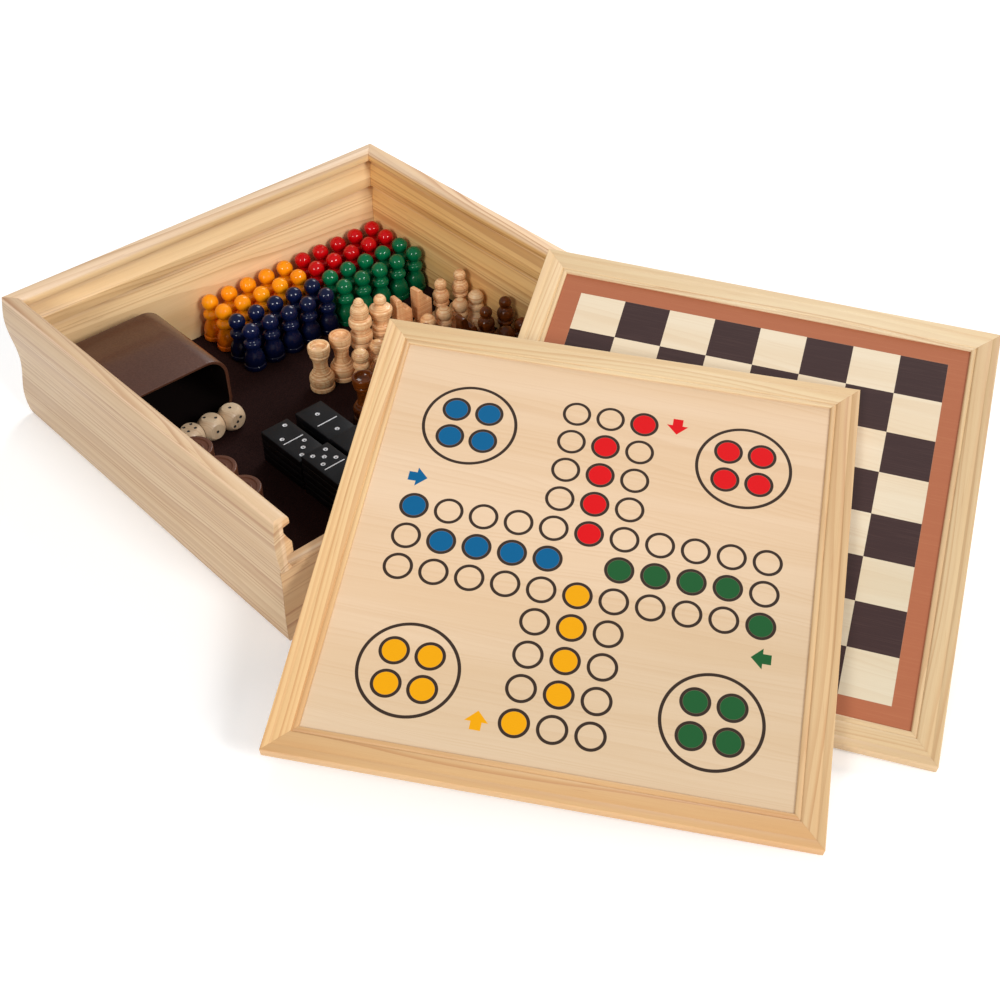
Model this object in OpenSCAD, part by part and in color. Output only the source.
// Games compendium box: a pine case with two ledged grooves round three walls, two framed
// game boards leaning on its low front wall, and the loose playing pieces standing inside.
// Millimetres, +Z up. The origin is on the underside, at the middle of the case.
// Left is -X, right is +X, the closed back is +Y and the low front wall is -Y.

/* [Case] */
// Width of the case over its side walls
case_w = 320; // [316:1:330]
// Depth of the case, front to back
case_d = 314; // [312:1:324]
// Height of the side and back walls
case_h = 98; // [96:1:104]
// Height of the front wall, which the boards slide over
front_h = 57; // [50:0.5:57]
// Thickness of every wall
wall_t = 12; // [11:0.5:13]
// How far the outer faces swell and hollow
ogee = 1.3; // [0.4:0.1:1.6]
// Thickness of the plywood bottom
bottom_t = 5; // [3:0.5:5]
// Thickness of the felt that lines the bottom
felt_t = 1; // [0.5:0.1:1]

/* [Board grooves] */
// Depth of the two grooves in the side and back walls
groove_d = 4.7; // [4:0.1:5]
// Height of the upper groove's roof above the table
groove_top = 89.5; // [88:0.5:89.5]
// Distance from the upper groove down to the lower one
groove_pitch = 21.9; // [21:0.1:22]

/* [Game boards] */
// Side of each square board
board_w = 302; // [296:1:302]
// Width of the moulded rails
rail_w = 16; // [15:0.5:18]
// Thickness of a rail's outer tongue, which runs in the grooves
tongue_t = 6; // [5:0.5:6]
// Height of a rail's ridge
ridge_t = 9.8; // [9:0.1:10]
// Thickness of the printed plywood panels
panel_t = 4; // [3:0.5:4]

/* [Playing pieces] */
// Edge of a die
die_w = 16; // [14:0.5:16]
// Width of a domino
domino_w = 22; // [20:0.5:22]
// Length of a domino
domino_l = 44; // [40:1:44]
// Thickness of a domino
domino_t = 6; // [5:0.5:6]
// Diameter of a draughtsman
draught_d = 26; // [24:0.5:27]
// Thickness of a draughtsman
draught_t = 7; // [6:0.5:7]
// Height of a coloured peg pawn
peg_h = 37; // [33:0.5:38]
// Height of the chess kings
king_h = 59; // [54:1:60]
// Length of the dice cup
cup_l = 83; // [76:1:84]
// Width of the dice cup
cup_w = 84; // [70:1:84]
// Height of the dice cup as it lies
cup_h = 51; // [44:1:51]

/* [Hidden] */
$fn = 48;

// Colours
pine = [0.86, 0.74, 0.58];
rail_pine = [0.90, 0.78, 0.60];
birch = [0.92, 0.83, 0.70];
walnut = [0.30, 0.23, 0.22];
felt = [0.13, 0.07, 0.08];
leather = [0.25, 0.16, 0.12];
beech = [0.88, 0.74, 0.54];
stained = [0.35, 0.19, 0.09];
ink_black = [0.08, 0.09, 0.10];
yellow = [0.93, 0.58, 0.05];
red = [0.80, 0.05, 0.08];
blue = [0.05, 0.10, 0.27];
green = [0.02, 0.33, 0.19];

// Where the pieces stand: the top of the felt, and a hair above it
floor_z = bottom_t + felt_t;
stand_z = floor_z + 0.3;

// Points along an arc about the centre c
function arc(c, r, a0, a1, n = 6) =
    [for (i = [0:n]) c + r * [cos(a0 + (a1 - a0) * i / n), sin(a0 + (a1 - a0) * i / n)]];

// Case walls
// Height at which the outer face swells most, and the distance between two swells
swell_z = 78;
swell_pitch = 62;
// How far the outer face lies inside the case's full width at height z
function hollow(z) = ogee * (1 - cos(360 * (z - swell_z) / swell_pitch));
face_step = 3;
foot_r = 2;
lip_r = 5;
// Below each groove a ledge falls away, and above it a lug bevels back to the wall
ledge_drop = 4;
ledge_in = 3.9;
ledge_slope = 8.2;
lug_bevel = 1.1;
// How far below a groove's ledge the wall's face begins
upper_face_drop = 8.8;
lower_face_drop = 12;
// Depth of the rabbet that holds the bottom panel
rabbet_d = 6;
front_bevel = 1;
// How far the cutting solids reach past what they cut
reach = 2;

function outer_face(h) = [for (z = [h : -face_step : foot_r + 1]) [hollow(z), z]];
function foot_corner() = arc([hollow(0) + foot_r, foot_r], foot_r, 180, 270, 4);
function rabbet() = [[wall_t - rabbet_d, 0], [wall_t - rabbet_d, bottom_t], [wall_t, bottom_t]];
// One groove, from the ledge below it to the lug above it
function groove(top) = [
    [wall_t - groove_d + ledge_in, top - ledge_drop - ledge_slope],
    [wall_t - groove_d, top - ledge_drop],
    [wall_t - groove_d, top],
    [wall_t, top + lug_bevel]];

// Section of a grooved wall: x runs inward from the outer face, y is height
function grooved_section() = concat(
    rabbet(),
    [[wall_t, groove_top - groove_pitch - ledge_drop - lower_face_drop]],
    groove(groove_top - groove_pitch),
    [[wall_t, groove_top - ledge_drop - upper_face_drop]],
    groove(groove_top),
    arc([wall_t - lip_r, case_h - lip_r], lip_r, 0, 90, 5),
    outer_face(case_h),
    foot_corner());

function plain_section() = concat(
    rabbet(),
    [[wall_t, front_h - front_bevel], [wall_t - front_bevel, front_h]],
    outer_face(front_h),
    foot_corner());

// A length of wall along Y, its outer face on the plane x = 0
module stock(section, length)
    rotate([90, 0, 0]) linear_extrude(length, center = true) polygon(section);

// What a mitre takes away beyond the 45 degree plane at the back left corner
module mitre_waste(h)
    translate([-case_w / 2, case_d / 2, -1])
        linear_extrude(h + 1)
            polygon([[-reach, reach], [wall_t + reach, reach], [wall_t + reach, -wall_t - reach]]);

module side_wall()
    difference() {
        translate([-case_w / 2, 0, 0]) stock(grooved_section(), case_d);
        mitre_waste(case_h + 1);
        mirror([0, 1, 0]) mitre_waste(front_h);
    }

module left_wall() color(pine) side_wall();

module right_wall() color(pine) mirror([1, 0, 0]) side_wall();

module end_wall(section, h)
    difference() {
        translate([0, case_d / 2, 0]) rotate([0, 0, -90]) stock(section, case_w);
        end_waste(h);
        mirror([1, 0, 0]) end_waste(h);
    }

module end_waste(h)
    translate([-case_w / 2, case_d / 2, -1])
        linear_extrude(h + 2)
            polygon([[-reach, reach], [-reach, -wall_t - reach], [wall_t + reach, -wall_t - reach]]);

module back_wall() color(pine) end_wall(grooved_section(), case_h);

module front_wall() color(pine) mirror([0, 1, 0]) end_wall(plain_section(), front_h);

module bottom_panel()
    color(birch)
        translate([0, 0, bottom_t / 2])
            cube([case_w - 2 * (wall_t - rabbet_d), case_d - 2 * (wall_t - rabbet_d), bottom_t],
                center = true);

module felt_liner()
    color(felt)
        translate([0, 0, bottom_t + felt_t / 2])
            cube([case_w - 2 * wall_t, case_d - 2 * wall_t, felt_t], center = true);

// Game boards, each in its own frame: x right, y towards its top edge, z = 0 on its underside
// How far the moulded steps of a rail lie from its outer edge
ridge_in = 8.5;
vee_in = 12.3;
bead_r = 1.6;
panel_z = 2.5;
rabbet_lap = 5;

// Section of a rail: x runs inward from the outer edge, y is height
function rail_section() = concat(
    [[0.6, 0], [rail_w - rabbet_lap, 0], [rail_w - rabbet_lap, panel_z + panel_t]],
    [[rail_w, panel_z + panel_t]],
    [[rail_w, ridge_t - 1.7]],
    arc([rail_w - bead_r, ridge_t - 1.7], bead_r, 0, 160, 5),
    [[vee_in + 0.4, ridge_t - 1]],
    [[vee_in, ridge_t - 0.2]],
    arc([vee_in - 1, ridge_t - 1], 1, 60, 90, 2),
    arc([ridge_in + 0.8, ridge_t - 0.8], 0.8, 90, 180, 3),
    arc([ridge_in - 2.1, tongue_t + 2.1], 2.1, 0, -90, 4),
    arc([1, tongue_t - 1], 1, 90, 180, 3),
    [[0, 0.6]]);

// The left rail of a board, mitred at both ends
module rail()
    intersection() {
        translate([-board_w / 2, 0, 0]) stock(rail_section(), board_w);
        translate([0, 0, -1])
            linear_extrude(ridge_t + 2)
                polygon([[0, 0], [-board_w / 2 - 1, board_w / 2 + 1],
                    [-board_w / 2 - 1, -board_w / 2 - 1]]);
    }

module panel()
    translate([0, 0, panel_z + panel_t / 2])
        cube([board_w - 2 * (rail_w - rabbet_lap), board_w - 2 * (rail_w - rabbet_lap), panel_t],
            center = true);

// How the boards lean: a low corner on the table, the rest on the case and on each other
ludo_at = [-21.7, -265.6, 52.6];
ludo_turn = [16.0, 4.0, -52.8];
chess_at = [85.4, -278.1, 55.8];
chess_turn = [18.1, 3.2, -58.6];

module ludo_board() translate(ludo_at) rotate(ludo_turn) children();

module chess_board() translate(chess_at) rotate(chess_turn) children();

module ludo_left_rail() color(rail_pine) ludo_board() rail();

module ludo_bottom_rail() color(rail_pine) ludo_board() rotate([0, 0, 90]) rail();

module ludo_right_rail() color(rail_pine) ludo_board() rotate([0, 0, 180]) rail();

module ludo_top_rail() color(rail_pine) ludo_board() rotate([0, 0, 270]) rail();

module ludo_panel() color(birch) ludo_board() panel();

module chess_left_rail() color(rail_pine) chess_board() rail();

module chess_bottom_rail() color(rail_pine) chess_board() rotate([0, 0, 90]) rail();

module chess_right_rail() color(rail_pine) chess_board() rotate([0, 0, 180]) rail();

module chess_top_rail() color(rail_pine) chess_board() rotate([0, 0, 270]) rail();

module chess_panel() color(walnut) chess_board() panel();

// Dice cup, lying on its flat side with the mouth towards the front
cup_x = -99.5;
cup_mouth_y = 47;
cup_r = 16;
cup_t = 2.4;

// A rectangle with round corners, exact arcs
module round_rect(w, h, r) {
    square([w - 2 * r, h], center = true);
    square([w, h - 2 * r], center = true);
    for (x = [-1, 1], y = [-1, 1]) translate([x * (w / 2 - r), y * (h / 2 - r)]) circle(r);
}

module dice_cup()
    color(leather)
        translate([cup_x, cup_mouth_y + cup_l, stand_z + cup_h / 2])
            rotate([90, 0, 0])
                difference() {
                    linear_extrude(cup_l) round_rect(cup_w, cup_h, cup_r);
                    translate([0, 0, cup_t])
                        linear_extrude(cup_l)
                            round_rect(cup_w - 2 * cup_t, cup_h - 2 * cup_t, cup_r - cup_t);
                }

// Dice, in a row before the cup's mouth
die_x = -67.1;
die_y = 36.4;
die_pitch = die_w + 0.4;
// Radius of the ball that rounds a die's edges and corners
die_round = 0.68 * die_w;

module die(i)
    color(beech)
        translate([die_x - i * die_pitch, die_y, stand_z + die_w / 2])
            intersection() {
                cube(die_w, center = true);
                sphere(die_round);
            }

module die_1() die(0);

module die_2() die(1);

module die_3() die(2);

// Dominoes: 28 tiles in six stacks, two columns of three
domino_r = 1.5;
tile_air = 0.06;
// Where each stack stands, x and y, and how many tiles it holds
stack_1 = [-61.6, -31.6, 4];
stack_2 = [-61.4, -77.4, 5];
stack_3 = [-61.5, -122.4, 5];
stack_4 = [-33.0, -31.2, 4];
stack_5 = [-36.4, -75.6, 5];
stack_6 = [-36.0, -120.6, 5];

module domino() linear_extrude(domino_t - tile_air) round_rect(domino_w, domino_l, domino_r);

module domino_stack(stack)
    color(ink_black)
        for (i = [0 : stack[2] - 1])
            translate([stack[0], stack[1], stand_z + i * domino_t]) domino();

module domino_stack_1() domino_stack(stack_1);

module domino_stack_2() domino_stack(stack_2);

module domino_stack_3() domino_stack(stack_3);

module domino_stack_4() domino_stack(stack_4);

module domino_stack_5() domino_stack(stack_5);

module domino_stack_6() domino_stack(stack_6);

// Draughtsmen: turned discs with a round edge and a sunk top, in stacks of four
draught_air = 0.1;
draught_edge_r = 1;
draught_rim = 3;
draught_sink = 0.6;
draughts_n = 4;
// Where the first stack of each colour stands, and the step to the next
dark_draughts_at = [-117.2, 2.5];
dark_draughts_step = [0, -27.5];
natural_draughts_at = [18, -76];
natural_draughts_step = [28, 0];

function draught_section() =
    let (r = draught_d / 2, h = draught_t - draught_air, e = draught_edge_r)
    concat(
        [[0, 0]],
        arc([r - e, e], e, -90, 0, 3),
        arc([r - e, h - e], e, 0, 90, 3),
        [[r - draught_rim, h], [r - draught_rim - draught_sink, h - draught_sink]],
        [[0, h - draught_sink]]);

module draught_stacks(at, step)
    for (i = [0:2], k = [0 : draughts_n - 1])
        translate([at[0] + i * step[0], at[1] + i * step[1], stand_z + k * draught_t])
            rotate_extrude() polygon(draught_section());

module dark_draughts() color(stained) draught_stacks(dark_draughts_at, dark_draughts_step);

module natural_draughts() color(beech) draught_stacks(natural_draughts_at, natural_draughts_step);

// A turned man with a ball head: base radius rb, head radius rh, height h
module ball_man(rb, rh, h) {
    neck = h - 2 * rh;
    collar_z = neck - 0.11 * h;
    rotate_extrude()
        polygon(concat(
            [[0, 0]],
            arc([rb - 0.08 * h, 0.08 * h], 0.08 * h, -90, 55, 5),
            [[0.62 * rb, 0.3 * h]],
            [[0.54 * rb, collar_z - 0.1 * h]],
            arc([0.42 * rb, collar_z - 0.02 * h], 0.34 * rb, -50, 60, 4),
            [[0.46 * rb, neck + 0.02 * h]],
            [[0.46 * rb, neck + 0.4 * rh]],
            [[0, neck + 0.4 * rh]]));
    translate([0, 0, h - rh]) sphere(rh);
}

// Peg pawns: four colours of ten, in four rows along the back wall
peg_step = [17, 17.4];
peg_base_r = 8.2;
peg_head_r = 6.5;
peg_x = case_w / 2 - wall_t - peg_base_r - 0.8;
peg_y = case_d / 2 - wall_t - peg_base_r - 0.6;

// Five columns and two rows of pawns, counted from the back right corner
module pegs(col, row)
    for (i = [0:4], j = [0:1])
        translate([peg_x - (col + i) * peg_step[0], peg_y - (row + j) * peg_step[1], stand_z])
            ball_man(peg_base_r, peg_head_r, peg_h);

module red_pegs() color(red) pegs(0, 0);

module yellow_pegs() color(yellow) pegs(5, 0);

module green_pegs() color(green) pegs(0, 2);

module blue_pegs() color(blue) pegs(5, 2);

// Chess men: one row of eight larger men and one row of eight pawns in each colour
row_n = 8;
man_step = 18.9;
man_r = 9;
man_x = case_w / 2 - wall_t - man_r - 0.5 - (row_n - 1) * man_step;
pawn_step = 15.7;
pawn_r = 7.6;
pawn_head_r = 6;
pawn_h = 31;
pawn_x = case_w / 2 - wall_t - pawn_r - 1 - (row_n - 1) * pawn_step;
rook_cup = 3;
knight_half = 0.82 * man_r;
bishop_ball_r = 4.8;
queen_ball_r = 4.7;
natural_y = 29;
natural_pawn_y = 12;
dark_y = -22;
dark_pawn_y = -39.2;
rook_h = 0.627 * king_h;
knight_h = 0.68 * king_h;
bishop_h = 0.71 * king_h;
queen_h = 0.91 * king_h;

// Foot that every larger man stands on, up to the height z
function man_foot(z) = concat(
    [[0, 0]],
    arc([man_r - 2.4, 2.4], 2.4, -90, 60, 5),
    arc([man_r - 2.6, 6.6], 1.7, -60, 80, 4),
    [[0.62 * man_r, z]]);

module turned(points) rotate_extrude() polygon(points);

module rook()
    difference() {
        turned(concat(
            man_foot(0.36 * rook_h),
            [[0.7 * man_r, 0.39 * rook_h], [0.66 * man_r, 0.42 * rook_h]],
            [[0.5 * man_r, 0.7 * rook_h]],
            [[0.82 * man_r, 0.84 * rook_h], [0.9 * man_r, rook_h - 0.8], [0.84 * man_r, rook_h]],
            [[0, rook_h]]));
        translate([0, 0, rook_h - rook_cup])
            cylinder(h = rook_cup + 1, r1 = 0.5 * man_r, r2 = 0.72 * man_r);
    }

module knight() {
    turned(concat(man_foot(0.3 * knight_h), [[0.6 * man_r, 0.4 * knight_h], [0, 0.4 * knight_h]]));
    intersection() {
        translate([0, 0, 0.3 * knight_h]) cylinder(h = knight_h, r = knight_half);
        rotate([90, 0, 0])
            linear_extrude(1.1 * man_r, center = true)
                polygon([[-knight_half, 0.38 * knight_h], [knight_half, 0.38 * knight_h],
                    [knight_half, 0.76 * knight_h], [4.6, 0.8 * knight_h], [2.6, 0.9 * knight_h],
                    [0.4, 0.84 * knight_h], [-4, knight_h], [-knight_half, knight_h]]);
    }
}

module bishop() {
    turned(concat(
        man_foot(0.34 * bishop_h),
        [[0.46 * man_r, 0.44 * bishop_h]],
        arc([0.2 * man_r, 0.66 * bishop_h], 0.5 * man_r, -60, 70, 6),
        [[0.3 * man_r, 0.84 * bishop_h], [0, 0.84 * bishop_h]]));
    translate([0, 0, bishop_h - bishop_ball_r]) sphere(bishop_ball_r);
}

module queen() {
    turned(concat(
        man_foot(0.3 * queen_h),
        [[0.56 * man_r, 0.4 * queen_h]],
        arc([0.7 * man_r, 0.47 * queen_h], 0.18 * man_r, -80, 80, 4),
        arc([0.72 * man_r, 0.55 * queen_h], 0.2 * man_r, -80, 80, 4),
        [[0.62 * man_r, 0.62 * queen_h]],
        [[0.84 * man_r, 0.74 * queen_h], [0.88 * man_r, 0.78 * queen_h]],
        [[0.74 * man_r, 0.81 * queen_h], [0.36 * man_r, 0.85 * queen_h], [0, 0.85 * queen_h]]));
    translate([0, 0, queen_h - queen_ball_r]) sphere(queen_ball_r);
}

module king()
    turned(concat(
        man_foot(0.26 * king_h),
        [[0.56 * man_r, 0.36 * king_h]],
        arc([0.68 * man_r, 0.43 * king_h], 0.2 * man_r, -80, 80, 4),
        arc([0.66 * man_r, 0.51 * king_h], 0.2 * man_r, -80, 80, 4),
        [[0.62 * man_r, 0.58 * king_h]],
        arc([0.62 * man_r, 0.65 * king_h], 0.2 * man_r, -80, 80, 4),
        [[0.56 * man_r, 0.72 * king_h]],
        arc([0.56 * man_r, 0.78 * king_h], 0.22 * man_r, -60, 60, 4),
        [[0.42 * man_r, 0.89 * king_h]],
        arc([0, 0.93 * king_h], 0.44 * man_r, -10, 60, 4),
        [[0, king_h]]));

// Stands a man at place i of the row at y
module place(i, y) translate([man_x + i * man_step, y, stand_z]) children();

module pawn_row(y)
    for (i = [0 : row_n - 1])
        translate([pawn_x + i * pawn_step, y, stand_z]) ball_man(pawn_r, pawn_head_r, pawn_h);

module natural_rooks() color(beech) for (i = [0, 1]) place(i, natural_y) rook();

module natural_king() color(beech) place(2, natural_y) king();

module natural_queen() color(beech) place(3, natural_y) queen();

module natural_knights() color(beech) for (i = [4, 5]) place(i, natural_y) knight();

module natural_bishops() color(beech) for (i = [6, 7]) place(i, natural_y) bishop();

module natural_pawns() color(beech) pawn_row(natural_pawn_y);

module dark_rooks() color(stained) for (i = [0, 1]) place(i, dark_y) rook();

module dark_king() color(stained) place(2, dark_y) king();

module dark_queen() color(stained) place(3, dark_y) queen();

module dark_knights() color(stained) for (i = [4, 5]) place(i, dark_y) knight();

module dark_bishops() color(stained) for (i = [6, 7]) place(i, dark_y) bishop();

module dark_pawns() color(stained) pawn_row(dark_pawn_y);

left_wall();
right_wall();
back_wall();
front_wall();
bottom_panel();
felt_liner();
ludo_top_rail();
ludo_bottom_rail();
ludo_left_rail();
ludo_right_rail();
ludo_panel();
chess_top_rail();
chess_bottom_rail();
chess_left_rail();
chess_right_rail();
chess_panel();
dice_cup();
die_1();
die_2();
die_3();
domino_stack_1();
domino_stack_2();
domino_stack_3();
domino_stack_4();
domino_stack_5();
domino_stack_6();
dark_draughts();
natural_draughts();
yellow_pegs();
red_pegs();
blue_pegs();
green_pegs();
natural_rooks();
natural_knights();
natural_bishops();
natural_queen();
natural_king();
natural_pawns();
dark_rooks();
dark_knights();
dark_bishops();
dark_queen();
dark_king();
dark_pawns();
